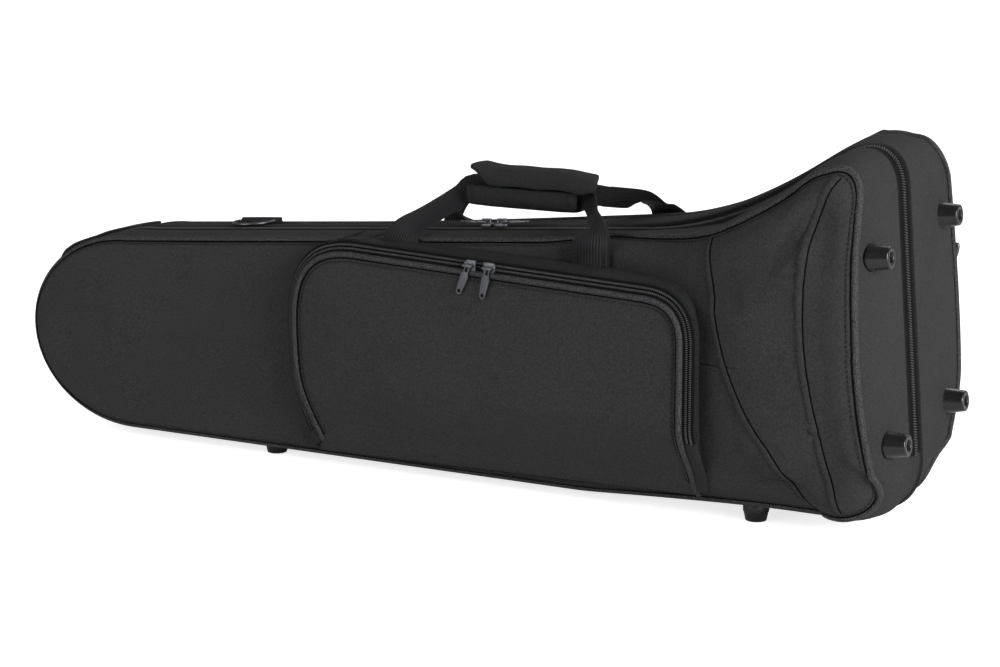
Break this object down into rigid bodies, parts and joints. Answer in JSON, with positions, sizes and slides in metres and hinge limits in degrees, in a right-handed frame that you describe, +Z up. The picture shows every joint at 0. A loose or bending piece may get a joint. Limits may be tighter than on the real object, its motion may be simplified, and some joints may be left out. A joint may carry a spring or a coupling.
{
  "type": "trombone case",
  "caption": "Soft-covered tenor trombone case with a flared bell end, zipped clamshell halves, a zipped front pocket, webbing carry handles with a padded grip, end feet and D-rings.",
  "frame": {"origin": "on the floor, under the middle of the closed case's bounding box", "axes": "+X from the narrow nose to the flared bell end, -Y towards the pocket side, +Z up from the long bottom edge the case stands on"},
  "size_m": [0.9942, 0.289, 0.3517],
  "materials": {
    "fabric": "woven nylon over foam, dark charcoal, matt",
    "webbing": "ribbed polypropylene webbing, black",
    "zip": "zip tape with moulded coil teeth, black",
    "plush": "short plush over foam, dark grey",
    "foot": "moulded rubber, black, slightly glossy",
    "metal": "gunmetal plated zinc and steel, satin"
  },
  "bodies": {
    "back_half": {"back_shell": "fabric", "back_lining": "plush", "bell_strap": "webbing", "mouthpiece_holder": "plush", "back_zip_half": "zip", "back_fold_half": "fabric", "back_strap": "webbing", "grip_pad": "fabric", "nose_strap": "webbing", "top_ring_tab": "webbing", "bell_ring_tab": "webbing", "foot_bottom_back_nose": "foot", "foot_bottom_back_nose_screw": "metal", "foot_bottom_back_bell": "foot", "foot_bottom_back_bell_screw": "metal", "foot_end_back_upper": "foot", "foot_end_back_upper_screw": "metal", "foot_end_back_lower": "foot", "foot_end_back_lower_screw": "metal"},
    "front_half": {"front_shell": "fabric", "front_lining": "plush", "slide_rest_nose": "plush", "slide_rest_bell": "plush", "slide_strap_nose": "webbing", "slide_strap_bell": "webbing", "front_zip_half": "zip", "front_fold_half": "fabric", "pocket_gusset": "fabric", "pocket_zip_fixed": "zip", "front_strap": "webbing", "foot_bottom_front_nose": "foot", "foot_bottom_front_nose_screw": "metal", "foot_bottom_front_bell": "foot", "foot_bottom_front_bell_screw": "metal", "foot_end_front_upper": "foot", "foot_end_front_upper_screw": "metal", "foot_end_front_lower": "foot", "foot_end_front_lower_screw": "metal"},
    "pocket_flap": {"pocket_panel": "fabric", "pocket_zip_panel": "zip"},
    "grip_flap": {"grip_flap": "fabric"},
    "top_ring": {"top_ring": "metal"},
    "bell_ring": {"bell_ring": "metal"},
    "main_slider_left": {"main_slider_left": "metal"},
    "main_slider_left_pull": {"main_slider_left_pull": "metal"},
    "main_slider_right": {"main_slider_right": "metal"},
    "main_slider_right_pull": {"main_slider_right_pull": "metal"},
    "pocket_slider_left": {"pocket_slider_left": "metal"},
    "pocket_slider_left_pull": {"pocket_slider_left_pull": "metal"},
    "pocket_slider_right": {"pocket_slider_right": "metal"},
    "pocket_slider_right_pull": {"pocket_slider_right_pull": "metal"}
  },
  "joints": [
    {"name": "case_opening", "type": "hinge", "parent": "back_half", "child": "front_half", "pos_m": [0, -0.0196, 0.01], "axis": [1, 0, 0], "range_deg": [0, 110], "deforming": ["front_strap"]},
    {"name": "pocket_opening", "type": "hinge", "parent": "front_half", "child": "pocket_flap", "pos_m": [-0.1123, -0.0908, 0.0243], "axis": [0.9979, -0.0556, 0.0344], "range_deg": [0, 75]},
    {"name": "main_slider_left_travel", "type": "slide", "parent": "back_half", "child": "main_slider_left", "axis": [0.9969, 0, 0.0785], "range_m": [-0.24, 0]},
    {"name": "main_slider_left_pull_swing", "type": "hinge", "parent": "main_slider_left", "child": "main_slider_left_pull", "pos_m": [0.03924, -0.0196, 0.24955], "axis": [0, 1, 0], "range_deg": [0, 38]},
    {"name": "main_slider_right_travel", "type": "slide", "parent": "back_half", "child": "main_slider_right", "axis": [0.9969, 0, 0.0785], "range_m": [0, 0.13]},
    {"name": "main_slider_right_pull_swing", "type": "hinge", "parent": "main_slider_right", "child": "main_slider_right_pull", "pos_m": [0.05624, -0.0196, 0.25089], "axis": [0, -1, 0], "range_deg": [0, 18]},
    {"name": "pocket_slider_left_travel", "type": "slide", "parent": "pocket_flap", "child": "pocket_slider_left", "axis": [0.9952, -0.0955, -0.0223], "range_m": [-0.13, 0]},
    {"name": "pocket_slider_left_pull_swing", "type": "hinge", "parent": "pocket_slider_left", "child": "pocket_slider_left_pull", "pos_m": [0.07822, -0.12411, 0.22617], "axis": [-0.9158, 0.0879, 0.392], "range_deg": [0, 17]},
    {"name": "pocket_slider_right_travel", "type": "slide", "parent": "pocket_flap", "child": "pocket_slider_right", "axis": [0.9952, -0.0955, -0.0223], "range_m": [0, 0.15]},
    {"name": "pocket_slider_right_pull_swing", "type": "hinge", "parent": "pocket_slider_right", "child": "pocket_slider_right_pull", "pos_m": [0.10022, -0.12623, 0.22568], "axis": [-0.9672, 0.0928, 0.2366], "range_deg": [0, 17]},
    {"name": "grip_flap_swing", "type": "hinge", "parent": "back_half", "child": "grip_flap", "pos_m": [0.09572, -0.00458, 0.30185], "axis": [-1, 0, 0], "range_deg": [0, 120]},
    {"name": "top_ring_swing", "type": "hinge", "parent": "back_half", "child": "top_ring", "pos_m": [-0.24928, 0.01042, 0.22337], "axis": [-0.9969, 0, -0.0785], "range_deg": [0, 140]},
    {"name": "bell_ring_swing", "type": "hinge", "parent": "back_half", "child": "bell_ring", "pos_m": [0.43572, 0.14013, 0.238], "axis": [1, 0, 0], "range_deg": [0, 140]}
  ]
}
